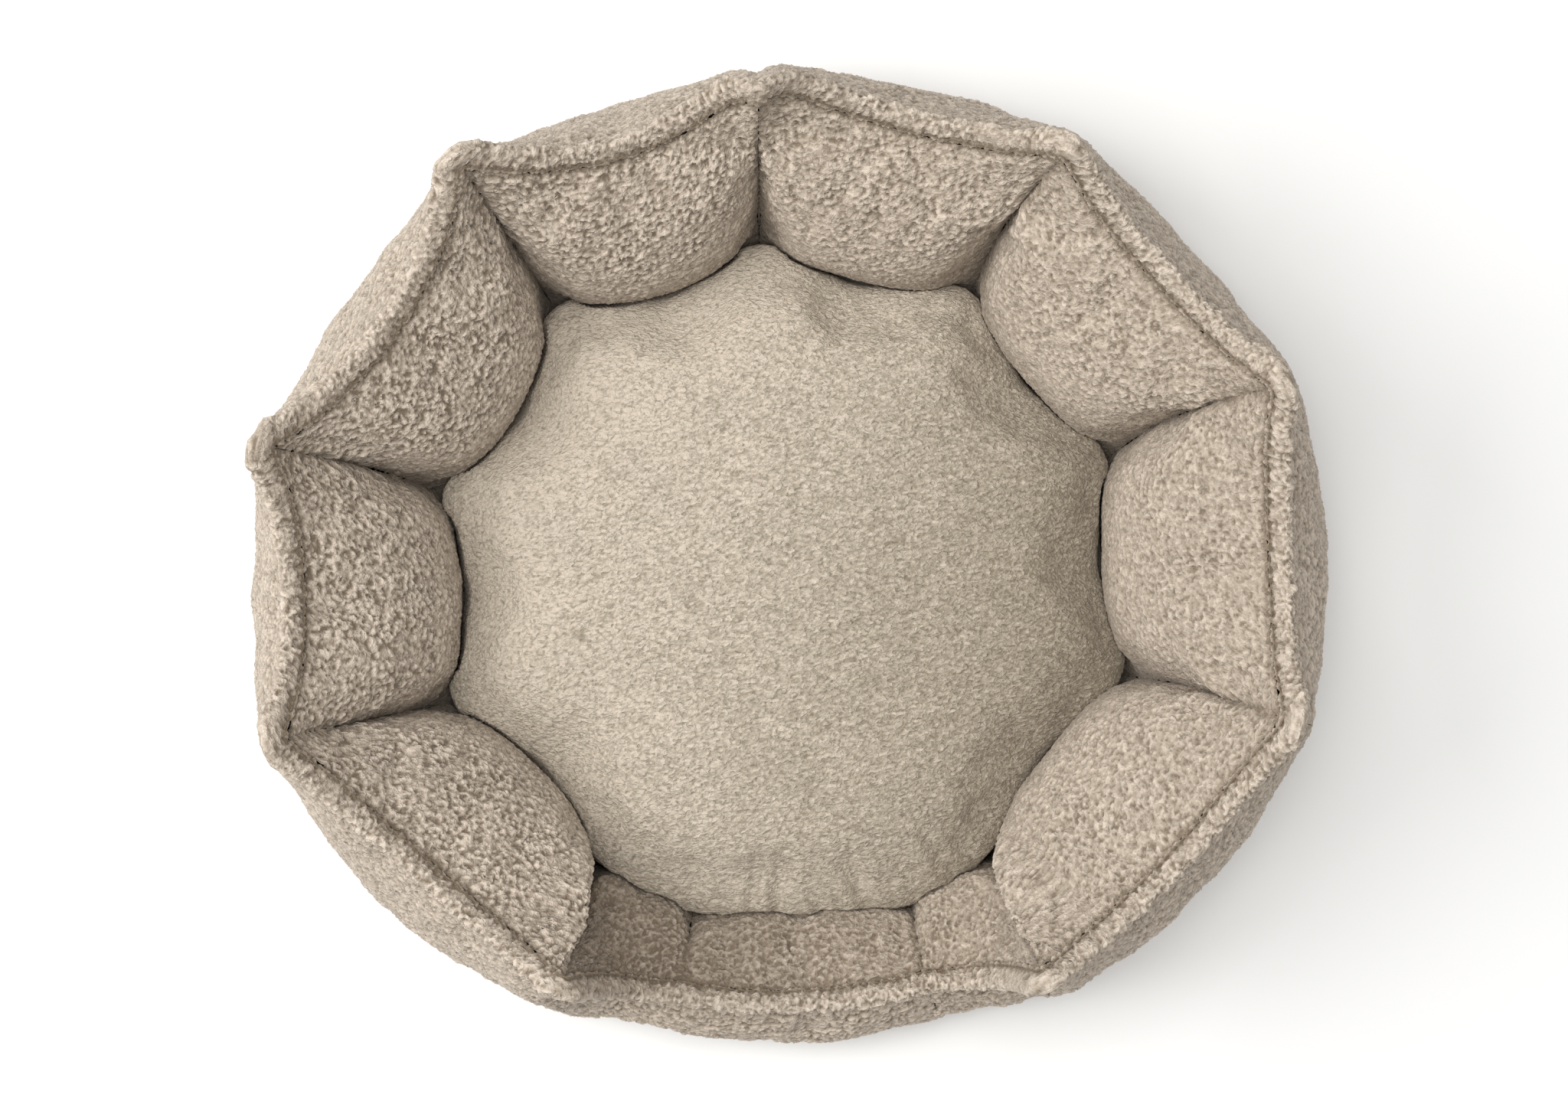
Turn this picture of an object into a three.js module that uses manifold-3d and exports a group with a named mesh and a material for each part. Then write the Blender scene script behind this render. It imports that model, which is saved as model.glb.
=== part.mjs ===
// Round pet bed with a scalloped padded wall, a low entrance and a loose zipped cushion.
// Units are millimetres, +Z is up, the entrance faces -Y, and the origin is on the floor
// under the middle of the bed.
//
// The wall is a ring of stuffed pockets. Each pocket has an inner and an outer fabric panel
// round a fibre filling, thin dividers part it from its neighbours, and one binding runs
// round the whole rim. A thin pad closes the floor. The cushion lies loose in the nest.

import * as THREE from 'three';
import { mergeVertices } from 'three/addons/utils/BufferGeometryUtils.js';
import Module from 'manifold-3d';

// ---------------------------------------------------------------- driving dimensions

const bedWidth = 602; // side to side, over the swell of the wall
const bedDepth = 547; // front to back, over the swell of the wall
const peakHeight = 200; // floor to the tip of the rim at a seam
const swagDrop = 33; // how far the rim hangs down between two seams
const entryHeight = 94; // floor to the rim at the entrance
const entrySag = 3; // how far the entrance rim hangs down at its middle

const nestRadius = 195; // nest centre to the foot of an inner seam
const nestShift = 12; // how far the nest lies in front of the bed's middle
const footInset = 9; // swell of the wall to its outer foot
const rimInset = 29; // swell of the wall to the rim at a seam, along the wall's own line

const petalCount = 8; // high pockets
const entrySweep = 72; // degrees of the ring that the entrance takes
const entryMiddleSweep = 36; // degrees of the entrance's middle pocket
const gateLean = 4.6; // degrees that the last high seams lean over the entrance

const gap = 0.3; // between two pieces that touch
const skin = 2.5; // thickness of the wall's fabric, with its pile
const dividerThickness = 1.5;
const dividerInset = 1.6; // inside of the panels to the edge of a divider
const groundSheet = 3; // thickness of the non-slip fabric underneath
const floorPad = 12; // thickness of the pad in the floor
const floorFabric = 2;
const floorClearance = 1.5; // between the floor's edge and the wall

const innerSwell = 28; // how far an inner panel swells out of its chord at mid pocket
const entrySwell = 13; // the same in the low entrance
const entryOuterSwell = 20; // how far the entrance's outer panels swell
const innerSwellAtSeam = 10;
const innerFootSwell = 5; // how far its foot bows into the nest
const outerSwell = 22; // how far an outer panel swells at mid pocket
const outerSwellAtSeam = 7;
const rimPull = 3; // how far the rim is pulled inwards between two seams

const bindingRise = 10; // height of the rim binding
const bindingThickness = 6;
const bindingLean = 7; // how far its top leans outwards
const bindingTip = 7.5; // what it adds to the height where two swags meet

const cushionHeight = 66; // at its middle
const cushionSeamHeight = 27; // its underside to its edge seam
const cushionClearance = 3; // wall to the edge of the cushion
const cushionSkin = 2;
const flatShare = 0.86; // share of the cushion's underside that lies flat

const zipShare = 0.82; // share of the flat underside's width that the zip takes
const zipOffset = 55; // nest centre to the zip, towards the back
const zipSlot = 9.6; // width of the gap between the two halves of the cushion's underside
const tapeWidth = 11;
const tapeThickness = 1;
const coilWidth = 2;
const coilHeight = 2;
const coilGap = 2; // between the two coils, where the slider's wedge runs
const sliderLength = 10;
const sliderWidth = 8.4;
const sliderPlate = 1.1;
const wedgeLength = 4;
const wedgeWidth = 1.3;
const stopLength = 3;

const petalCells = 6; // facets along a high pocket and along the entrance's middle
const rampCells = 4; // facets along the short pockets beside it
const stepsUp = [0, 0.2, 0.45, 0.7, 0.92, 1]; // where the facets of a panel begin and end

// ---------------------------------------------------------------- finishes

const finish = (color, roughness, metalness = 0) =>
  new THREE.MeshStandardMaterial({ color, roughness, metalness });
const teddy = finish(0xc9b9a6, 0.95);
const plush = finish(0xc4b5a2, 0.92);
const wadding = finish(0xf1f0ec, 1);
const lining = finish(0xd8cfc2, 0.9);
const ground = finish(0x6f675e, 0.85);
const zipFabric = finish(0xb9a996, 0.8);
const zipMetal = finish(0x9a948c, 0.35, 1);

// ---------------------------------------------------------------- small helpers

const rad = THREE.MathUtils.degToRad;
const lerp = THREE.MathUtils.lerp;
const up = new THREE.Vector3(0, 0, 1);
const nestCentre = new THREE.Vector3(0, -nestShift, 0);
const range = (n) => Array.from({ length: n }, (_, i) => i);
const along = (p, q, t) => p.clone().lerp(q, t);
const shifted = (p, direction, distance) => p.clone().addScaledVector(direction, distance);
const heading = (degrees) => new THREE.Vector3(Math.cos(rad(degrees)), Math.sin(rad(degrees)), 0);
const hump = (s) => 4 * s * (1 - s); // 0 at both seams, 1 between them
const plump = (s, power) => Math.sqrt(1 - Math.abs(2 * s - 1) ** power); // the same, with full round ends
const belly = (t) => Math.sin(Math.PI * t ** 0.86) ** 0.9; // over a panel's height, fullest low down

// Where a ray from the nest centre meets an ellipse round the bed's middle.
function onEllipse(degrees, halfWidth, halfDepth, height) {
  const d = heading(degrees);
  const a = (d.x / halfWidth) ** 2 + (d.y / halfDepth) ** 2;
  const b = (2 * d.y * nestCentre.y) / halfDepth ** 2;
  const c = (nestCentre.y / halfDepth) ** 2 - 1;
  const reach = (-b + Math.sqrt(b * b - 4 * a * c)) / (2 * a);
  return shifted(nestCentre, d, reach).setZ(height);
}

// Where the line through p along d crosses the line through a and b, seen from above.
function crossing(p, d, a, b) {
  const across = new THREE.Vector3(d.y, -d.x, 0);
  const start = a.clone().sub(p).dot(across);
  const end = b.clone().sub(p).dot(across);
  return along(a, b, start / (start - end));
}

// A closed geometry from points and triangles, turned so that its faces point out.
function closed(points, triangles) {
  let volume = 0;
  for (const [a, b, c] of triangles) volume += points[a].dot(points[b].clone().cross(points[c]));
  const faces = volume < 0 ? triangles.map(([a, b, c]) => [a, c, b]) : triangles;
  return new THREE.BufferGeometry().setFromPoints(points).setIndex(faces.flat());
}

// The two triangles of each cell between neighbouring rows of points.
function strips(rows, columns, index, ring = false) {
  const cells = [];
  for (const i of range(rows - 1)) {
    for (const j of range(ring ? columns : columns - 1)) {
      const k = (j + 1) % columns;
      cells.push([index(i, j), index(i + 1, j), index(i + 1, k)]);
      cells.push([index(i, j), index(i + 1, k), index(i, k)]);
    }
  }
  return cells;
}

// A sheet with a thickness: front and back are grids of points of the same shape.
function sheet(front, back) {
  const rows = front.length;
  const columns = front[0].length;
  const half = rows * columns;
  const face = (i, j) => i * columns + j;
  const triangles = strips(rows, columns, face);
  for (const [a, b, c] of strips(rows, columns, face)) triangles.push([a + half, c + half, b + half]);
  const edge = [
    ...range(columns - 1).map((j) => face(0, j)),
    ...range(rows - 1).map((i) => face(i, columns - 1)),
    ...range(columns - 1).map((j) => face(rows - 1, columns - 1 - j)),
    ...range(rows - 1).map((i) => face(rows - 1 - i, 0)),
  ];
  edge.forEach((a, n) => {
    const b = edge[(n + 1) % edge.length];
    triangles.push([a, b, b + half], [a, b + half, a + half]);
  });
  return closed([...front.flat(), ...back.flat()], triangles);
}

// A solid through loops of points, capped at its two ends.
function loft(loops) {
  const n = loops[0].length;
  const points = loops.flat();
  const triangles = strips(loops.length, n, (i, j) => i * n + j, true);
  for (const end of [0, loops.length - 1]) {
    const middle = points.length;
    points.push(loops[end].reduce((sum, p) => sum.add(p), new THREE.Vector3()).divideScalar(n));
    for (const j of range(n)) {
      const a = end * n + j;
      const b = end * n + ((j + 1) % n);
      triangles.push(end ? [b, a, middle] : [a, b, middle]);
    }
  }
  return closed(points, triangles);
}

// A ring through loops of points, the last loop joined to the first.
function ring(loops) {
  const n = loops[0].length;
  const index = (i, j) => (i % loops.length) * n + j;
  return closed(loops.flat(), strips(loops.length + 1, n, index, true));
}

function box(xRange, yRange, zRange) {
  const [x, y, z] = [xRange, yRange, zRange];
  return new THREE.BoxGeometry(x[1] - x[0], y[1] - y[0], z[1] - z[0]).translate(
    (x[0] + x[1]) / 2,
    (y[0] + y[1]) / 2,
    (z[0] + z[1]) / 2,
  );
}

// ---------------------------------------------------------------- joining and cutting

const wasm = await Module();
wasm.setup();

function toSolid(geometry) {
  const bare = geometry.clone();
  bare.deleteAttribute('normal');
  bare.deleteAttribute('uv');
  const merged = mergeVertices(bare, 1e-4);
  return new wasm.Manifold(
    new wasm.Mesh({
      numProp: 3,
      vertProperties: new Float32Array(merged.attributes.position.array),
      triVerts: new Uint32Array(merged.index.array),
    }),
  );
}

function toGeometry(solid) {
  const mesh = solid.getMesh();
  return new THREE.BufferGeometry()
    .setAttribute('position', new THREE.BufferAttribute(mesh.vertProperties, mesh.numProp))
    .setIndex(new THREE.BufferAttribute(mesh.triVerts, 1));
}

const cut = (geometry, ...tools) =>
  toGeometry(tools.reduce((solid, tool) => solid.subtract(toSolid(tool)), toSolid(geometry)));
const keep = (geometry, tool) => toGeometry(toSolid(geometry).intersect(toSolid(tool)));
const join = (geometry, ...more) =>
  toGeometry(more.reduce((solid, other) => solid.add(toSolid(other)), toSolid(geometry)));

// ---------------------------------------------------------------- the ring of pockets

const wallFoot = groundSheet + gap;
const crest = peakHeight - bindingTip; // where the panels end at a high seam
const sill = entryHeight - bindingRise - gap; // and at the entrance's seams
const petalSweep = (360 - entrySweep) / petalCount;
const rampSweep = (entrySweep - entryMiddleSweep) / 2;

// The pockets, clockwise from the seam at the back. A ramp joins a high seam to the entrance.
const pockets = [
  { name: 'back_right', kind: 'petal' },
  { name: 'right_rear', kind: 'petal' },
  { name: 'right', kind: 'petal' },
  { name: 'right_front', kind: 'petal' },
  { name: 'entry_right', kind: 'ramp down' },
  { name: 'entry', kind: 'entry' },
  { name: 'entry_left', kind: 'ramp up' },
  { name: 'left_front', kind: 'petal' },
  { name: 'left', kind: 'petal' },
  { name: 'left_rear', kind: 'petal' },
  { name: 'back_left', kind: 'petal' },
];
const sweepOf = {
  petal: petalSweep,
  entry: entryMiddleSweep,
  'ramp down': rampSweep,
  'ramp up': rampSweep,
};
const cellsOf = { petal: petalCells, entry: petalCells, 'ramp down': rampCells, 'ramp up': rampCells };

const outerFootAt = (angle) =>
  onEllipse(angle, bedWidth / 2 - footInset, bedDepth / 2 - footInset, wallFoot);

function seamsOf(ringOfPockets) {
  let angle = 90;
  return ringOfPockets.map((pocket, i) => {
    const before = ringOfPockets[(i + ringOfPockets.length - 1) % ringOfPockets.length];
    const low = pocket.kind === 'entry' || before.kind === 'entry';
    const lean = pocket.kind === 'ramp down' ? -gateLean : before.kind === 'ramp up' ? gateLean : 0;
    const seam = { angle, rimAngle: angle + lean, height: low ? sill : crest };
    seam.foot = shifted(nestCentre, heading(angle), nestRadius).setZ(wallFoot);
    seam.outerFoot = outerFootAt(seam.rimAngle);
    const inwards = seam.foot.clone().sub(seam.outerFoot).normalize();
    seam.rim = shifted(seam.outerFoot, inwards, rimInset - footInset).setZ(seam.height);
    angle -= sweepOf[pocket.kind];
    return seam;
  });
}
const seams = seamsOf(pockets);
pockets.forEach((pocket, i) => {
  pocket.from = seams[i];
  pocket.to = seams[(i + 1) % seams.length];
});

// Height at which the panels end, s of the way along a pocket.
function rimHeight(pocket, s) {
  if (pocket.kind === 'petal') return crest - swagDrop * (1 - Math.abs(2 * s - 1) ** 2.4);
  if (pocket.kind === 'entry') return sill - entrySag * hump(s);
  const fromGate = pocket.kind === 'ramp down' ? s : 1 - s;
  return sill + (crest - sill) * (1 - fromGate) ** 2.6;
}

// The lines and directions that make one cross-section of a pocket.
function section(pocket, s) {
  const { from, to } = pocket;
  const petal = pocket.kind === 'petal';
  const inner = along(from.foot, to.foot, s);
  const inwards = nestCentre.clone().setZ(inner.z).sub(inner).normalize();
  inner.addScaledVector(inwards, innerFootSwell * hump(s));
  const turn = to.rimAngle > from.rimAngle ? 360 : 0;
  const rimAngle = lerp(from.rimAngle, to.rimAngle - turn, s);
  const outer = outerFootAt(rimAngle);
  const outwards = outer.clone().sub(inner).normalize();
  const rim = crossing(inner, outwards, from.rim, to.rim).setZ(rimHeight(pocket, s));
  rim.addScaledVector(outwards, -rimPull * hump(s));
  const innerTop = shifted(rim, outwards, -(skin + gap / 2));
  const outerTop = shifted(rim, outwards, skin + gap / 2);
  const chordNormal = (foot, top, side) => {
    const chord = top.clone().sub(foot);
    const flat = chord.clone().setZ(0).normalize();
    const normal = shifted(flat.multiplyScalar(chord.z), up, -Math.hypot(chord.x, chord.y)).normalize();
    return normal.multiplyScalar(normal.dot(outwards) * side > 0 ? 1 : -1);
  };
  return {
    rim,
    outwards,
    inner: { foot: inner, top: innerTop, normal: chordNormal(inner, innerTop, -1) },
    outer: { foot: outer, top: outerTop, normal: chordNormal(outer, outerTop, 1) },
    innerBelly: lerp(innerSwellAtSeam, petal ? innerSwell : entrySwell, plump(s, 2.6)),
    outerBelly: lerp(outerSwellAtSeam, petal ? outerSwell : entryOuterSwell, plump(s, 2)),
  };
}

// A point t of the way up the inner or outer face of a section, some depth inside the fabric.
function facePoint(cross, side, t, depth = 0) {
  const line = cross[side];
  const swell = cross[side + 'Belly'] * belly(t) - depth;
  const point = shifted(along(line.foot, line.top, t), line.normal, swell);
  point.z = Math.max(point.z, wallFoot);
  return point;
}

const panelSideGap = gap * 0.8; // a panel to the seam line
const fillSideGap = dividerThickness / 2 + gap; // a filling to the seam line

// The steps along a pocket, kept clear of both seams and closer together near them.
function stepsAlong(pocket, clearance) {
  const margin = clearance / pocket.from.foot.distanceTo(pocket.to.foot);
  const cells = cellsOf[pocket.kind];
  return range(cells + 1).map((i) => {
    const even = i / cells;
    const crowded = (1 - Math.cos(Math.PI * even)) / 2;
    return margin + (1 - 2 * margin) * lerp(even, crowded, 0.6);
  });
}

// The inner or outer face of a pocket as rows of points, some depth inside the fabric. The rows
// of the inner face run up and those of the outer face run down, as the outline of a filling does.
function wallFace(pocket, side, depth) {
  const heights = side === 'inner' ? stepsUp : stepsUp.toReversed();
  return stepsAlong(pocket, panelSideGap).map((s) => {
    const cross = section(pocket, s);
    return heights.map((t) => facePoint(cross, side, t, depth));
  });
}

const wallPanel = (pocket, side) => sheet(wallFace(pocket, side, 0), wallFace(pocket, side, skin));

// The outline of a filling or of a divider: up the inner face and down the outer one, as far
// as the topmost row but one.
const loopOf = (inside, outside) => [...inside.slice(0, -1), ...outside.slice(1)];

// A thin upright plate in the plane of a seam.
function seamPlate(seam, halfThickness) {
  const length = seam.outerFoot.distanceTo(seam.foot);
  const middle = along(seam.foot, seam.outerFoot, 0.5);
  const turn = Math.atan2(seam.outerFoot.y - seam.foot.y, seam.outerFoot.x - seam.foot.x);
  return new THREE.BoxGeometry(2 * length, 2 * halfThickness, 2 * peakHeight)
    .rotateZ(turn)
    .translate(middle.x, middle.y, peakHeight);
}

function wallFill(pocket) {
  const inner = wallFace(pocket, 'inner', skin + gap);
  const outer = wallFace(pocket, 'outer', skin + gap);
  const stuffing = loft(inner.map((inside, i) => loopOf(inside, outer[i])));
  return cut(stuffing, seamPlate(pocket.from, fillSideGap), seamPlate(pocket.to, fillSideGap));
}

// A divider is a thin panel in the shape of the pocket's end.
function divider(pocket) {
  const cross = section(pocket, 0);
  const face = (side) => stepsUp.map((t) => facePoint(cross, side, t, skin + dividerInset));
  const loop = loopOf(face('inner'), face('outer').reverse());
  const across = cross.outwards.clone().cross(up);
  return loft([-1, 1].map((side) => loop.map((p) => shifted(p, across, (side * dividerThickness) / 2))));
}

// The binding: a leaning band on top of the panels, all the way round.
function rimBinding() {
  const half = bindingThickness / 2;
  const profile = [
    [-half, gap],
    [half, gap],
    [half + bindingLean, bindingRise - 1.5],
    [bindingLean, bindingRise + gap],
    [bindingLean - half - 0.5, bindingRise - 1.5],
  ];
  const loops = pockets.flatMap((pocket) =>
    stepsAlong(pocket, panelSideGap).map((s) => {
      const { rim, outwards } = section(pocket, s);
      const behind = section(pocket, Math.max(0, s - 0.01)).rim;
      const run = section(pocket, Math.min(1, s + 0.01)).rim.sub(behind);
      const rising = run.cross(outwards).normalize();
      return profile.map(([out, rise]) => shifted(shifted(rim, outwards, out), rising, rise));
    }),
  );
  return ring(loops);
}

// ---------------------------------------------------------------- the floor

// An outline as a flat plate between two heights.
function plate(outline, bottom, top) {
  const shape = new THREE.Shape(outline.map((p) => new THREE.Vector2(p.x, p.y)));
  const flat = new THREE.ExtrudeGeometry(shape, { depth: top - bottom, bevelEnabled: false });
  return flat.translate(0, 0, bottom);
}

// The part of an upright line of points that lies below some height.
function below(line, height) {
  const low = line.filter((p) => p.z <= height);
  const last = low.at(-1);
  const next = line[low.length];
  return next ? [...low, along(last, next, (height - last.z) / (next.z - last.z))] : low;
}

// The outline of the nest below some height, a clearance inside the wall's swell.
function nestOutline(height, clearance) {
  const reach = (p) => p.clone().setZ(0).distanceTo(nestCentre);
  return pockets.flatMap((pocket) =>
    stepsAlong(pocket, 0)
      .slice(0, -1)
      .map((s) => {
        const cross = section(pocket, s);
        const face = stepsUp.map((t) => facePoint(cross, 'inner', t));
        const nearest = below(face, height).reduce((best, p) => (reach(p) < reach(best) ? p : best));
        const inwards = nestCentre.clone().sub(nearest).setZ(0).normalize();
        return shifted(nearest, inwards, clearance);
      }),
  );
}

const footOutline = pockets.flatMap((pocket) =>
  stepsAlong(pocket, 0)
    .slice(0, -1)
    .map((s) => section(pocket, s).outer.foot),
);

const padBottom = groundSheet + gap;
const padTop = padBottom + floorPad;
const floorTop = padTop + gap + floorFabric;
const floorOutline = nestOutline(floorTop, floorClearance);

// ---------------------------------------------------------------- the cushion

const cushionBottom = floorTop + gap;
const cushionSeam = cushionBottom + cushionSeamHeight;
const cushionTop = cushionBottom + cushionHeight;
const edgeOutline = nestOutline(cushionTop, cushionClearance);

// One ring of the cushion's surface: k is the share of the way out, depth lies inside the fabric.
function cushionRing(k, height, depth) {
  return edgeOutline.map((edge) => {
    const spoke = edge.clone().sub(nestCentre).setZ(0);
    const reach = k * (spoke.length() - depth);
    return shifted(nestCentre, spoke.normalize(), reach).setZ(height);
  });
}
const domeHeight = (k, depth) =>
  cushionSeam + gap + (cushionTop - depth - cushionSeam - gap) * (1 - k ** 3) ** 0.55;
function keelHeight(k, depth) {
  const climb = (k - flatShare) / (1 - flatShare);
  return cushionSeam - (cushionSeam - cushionBottom - depth) * Math.sqrt(1 - climb ** 2);
}

const rings = [1, 0.97, 0.88, 0.7, 0.42, 0.16];
const keelRings = [1, 0.98, 0.93, flatShare];
// A cover is a bowl with a thickness: both of its faces are closed at the middle.
const coverFace = (heights, ks, depth) => ks.map((k) => cushionRing(k, heights(k, depth), depth));
function topCover() {
  const outside = coverFace(domeHeight, rings, 0).reverse();
  return loft([...outside, ...coverFace(domeHeight, rings, cushionSkin)]);
}
function underCover() {
  const inside = coverFace(keelHeight, keelRings, cushionSkin).reverse();
  return loft([...inside, ...coverFace(keelHeight, keelRings, 0)]);
}

const zipY = nestCentre.y + zipOffset;
const flatReach = flatShare * Math.min(...edgeOutline.map((p) => p.clone().setZ(0).distanceTo(nestCentre)));
const zipHalf = zipShare * Math.sqrt(flatReach ** 2 - (zipOffset + zipSlot / 2 + tapeWidth) ** 2);
const tapeBottom = cushionBottom + cushionSkin + gap;
const coilBottom = tapeBottom - (coilHeight - tapeThickness) / 2;
const coilTop = coilBottom + coilHeight;
const pocketTop = coilTop + gap + sliderPlate + gap;
const far = bedWidth;

const cushionFill = () => {
  const depth = cushionSkin + gap;
  const under = coverFace(keelHeight, keelRings, depth).reverse();
  const over = coverFace(domeHeight, rings, depth).slice(1);
  const recess = box(
    [-zipHalf - 2 * stopLength, zipHalf + 2 * stopLength],
    [zipY - tapeWidth - zipSlot / 2, zipY + tapeWidth + zipSlot / 2],
    [0, pocketTop],
  );
  return cut(loft([...under, ...over]), recess);
};

// One half of the underside: side is -1 in front of the zip and 1 behind it.
function underHalf(side) {
  const reach = [zipY + (side * gap) / 2, zipY + side * far].sort((a, b) => a - b);
  const slot = box(
    [-zipHalf - 1.5 * stopLength, zipHalf + 1.5 * stopLength],
    [zipY - zipSlot / 2, zipY + zipSlot / 2],
    [0, cushionSeam],
  );
  return cut(keep(underCover(), box([-far, far], reach, [0, cushionTop])), slot);
}

function zipTape(side) {
  const near = coilGap / 2 + coilWidth + gap;
  const reach = [zipY + side * near, zipY + side * (near + tapeWidth)].sort((a, b) => a - b);
  return box([-zipHalf, zipHalf], reach, [tapeBottom, tapeBottom + tapeThickness]);
}

function zipCoil(side) {
  const near = coilGap / 2;
  const reach = [zipY + side * near, zipY + side * (near + coilWidth)].sort((a, b) => a - b);
  return box([-zipHalf, zipHalf], reach, [coilBottom, coilTop]);
}

// Two plates, under and over the coils, joined by the wedge that runs between them.
function zipSlider() {
  const x = zipHalf - sliderLength;
  const length = [x, x + sliderLength];
  const width = [zipY - sliderWidth / 2, zipY + sliderWidth / 2];
  const under = box(length, width, [coilBottom - gap - sliderPlate, coilBottom - gap]);
  const over = box(length, width, [coilTop + gap, coilTop + gap + sliderPlate]);
  const wedge = box(
    [x + sliderLength - wedgeLength, x + sliderLength],
    [zipY - wedgeWidth / 2, zipY + wedgeWidth / 2],
    [coilBottom - gap - sliderPlate / 2, coilTop + gap + sliderPlate / 2],
  );
  return join(under, wedge, over);
}

function zipStop(side) {
  const reach = [side * (zipHalf + gap), side * (zipHalf + gap + stopLength)].sort((a, b) => a - b);
  const half = coilGap / 2 + coilWidth;
  return box(reach, [zipY - half, zipY + half], [coilBottom, coilTop]);
}

// ---------------------------------------------------------------- the assembly

function part(name, geometry, material) {
  const mesh = new THREE.Mesh(geometry, material);
  mesh.name = name;
  return mesh;
}

const dividerNames = [
  'divider_back',
  'divider_back_right',
  'divider_right_rear',
  'divider_right_front',
  'divider_gate_right',
  'divider_entry_right',
  'divider_entry_left',
  'divider_gate_left',
  'divider_left_front',
  'divider_left_rear',
  'divider_back_left',
];

const shell = new THREE.Group();
pockets.forEach((pocket, i) => {
  shell.add(part(`inner_panel_${pocket.name}`, wallPanel(pocket, 'inner'), teddy));
  shell.add(part(`outer_panel_${pocket.name}`, wallPanel(pocket, 'outer'), teddy));
  shell.add(part(`wall_fill_${pocket.name}`, wallFill(pocket), wadding));
  shell.add(part(dividerNames[i], divider(pocket), lining));
});
shell.add(part('rim_binding', rimBinding(), teddy));
shell.add(part('ground_sheet', plate(footOutline, 0, groundSheet), ground));
shell.add(part('floor_pad', plate(floorOutline, padBottom, padTop), wadding));
shell.add(part('floor_fabric', plate(floorOutline, padTop + gap, floorTop), lining));

const cushion = new THREE.Group();
cushion.add(part('cushion_top_cover', topCover(), plush));
cushion.add(part('cushion_fill', cushionFill(), wadding));
for (const [word, side] of [['front', -1], ['back', 1]]) {
  cushion.add(part(`cushion_underside_${word}`, underHalf(side), plush));
  cushion.add(part(`zip_tape_${word}`, zipTape(side), zipFabric));
  cushion.add(part(`zip_coil_${word}`, zipCoil(side), zipFabric));
}
cushion.add(part('zip_slider', zipSlider(), zipMetal));
cushion.add(part('zip_stop_right', zipStop(1), zipMetal));
cushion.add(part('zip_stop_left', zipStop(-1), zipMetal));

const bed = new THREE.Group();
bed.add(shell, cushion);
export default bed;
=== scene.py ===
"""A round plush pet bed: stuffed wall pockets, a topstitched rim, a low entrance and a loose
zipped cushion. Lengths in the tables are millimetres of the bed, turned to metres by MM."""

import math

import bpy
import numpy as np
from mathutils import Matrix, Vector


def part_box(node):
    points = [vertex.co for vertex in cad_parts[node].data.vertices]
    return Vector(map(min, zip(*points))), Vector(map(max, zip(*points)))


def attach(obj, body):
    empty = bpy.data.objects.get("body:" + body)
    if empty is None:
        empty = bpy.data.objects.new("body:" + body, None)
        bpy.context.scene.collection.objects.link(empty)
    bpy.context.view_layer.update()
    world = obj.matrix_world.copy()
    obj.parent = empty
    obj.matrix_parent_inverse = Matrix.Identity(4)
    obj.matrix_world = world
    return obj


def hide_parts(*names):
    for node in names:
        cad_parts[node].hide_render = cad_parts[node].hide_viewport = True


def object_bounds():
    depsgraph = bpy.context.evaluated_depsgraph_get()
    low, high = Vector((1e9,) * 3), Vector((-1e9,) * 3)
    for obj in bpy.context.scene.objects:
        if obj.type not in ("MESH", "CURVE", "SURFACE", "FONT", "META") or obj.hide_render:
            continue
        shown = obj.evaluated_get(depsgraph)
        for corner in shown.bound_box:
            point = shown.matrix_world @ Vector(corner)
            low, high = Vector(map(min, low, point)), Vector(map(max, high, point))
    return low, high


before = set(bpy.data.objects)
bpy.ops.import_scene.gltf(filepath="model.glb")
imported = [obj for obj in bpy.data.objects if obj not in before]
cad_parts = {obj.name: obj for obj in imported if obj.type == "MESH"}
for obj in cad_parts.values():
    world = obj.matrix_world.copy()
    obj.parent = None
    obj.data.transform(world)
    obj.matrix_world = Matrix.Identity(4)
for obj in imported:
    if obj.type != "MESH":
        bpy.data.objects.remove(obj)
CAD_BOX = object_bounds()

# ---------------------------------------------------------------- sizes

MM = (CAD_BOX[1].x - CAD_BOX[0].x) / 600.2  # one millimetre of the bed, in metres
NEST = np.array([0.0, -12 * MM, 0.0])  # the middle of the nest, on the floor
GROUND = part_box("ground_sheet")[1].z  # the top of the sheet under the bed
NEST_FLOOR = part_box("floor_fabric")[1].z
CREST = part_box("inner_panel_right")[1].z  # the height of the stitching where two pockets meet
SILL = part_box("inner_panel_entry")[1].z  # and at the entrance
SWAG = 31 * MM  # how far the rim hangs down between two seams
OUTER_FOOT = (291 * MM, 263 * MM)  # half the width and depth of the wall's outer foot

# Each seam, clockwise from the back: the angle and distance from the nest's middle of its foot
# and of its top, and how far the crease bows towards the next pocket.
SEAMS = {
    "back": (92, 188, 90.7, 248, 0),
    "back_right": (54, 193, 54.2, 261, -6),
    "right_rear": (17.5, 192, 19, 270, -7),
    "right_front": (-18.7, 199, -18, 267, -4),
    "gate_right": (-56, 198, -59.2, 243, 0),
    "entry_right": (-71, 195, -73, 231, 0),
    "entry_left": (-108, 193, -107, 231, 0),
    "gate_left": (-126, 197, -121.5, 237, 0),
    "left_front": (-162, 201, -165, 271, 0),
    "left_rear": (163.7, 197, 163, 273, 3),
    "back_left": (128, 202, 125.5, 270, 0),
}

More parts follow.
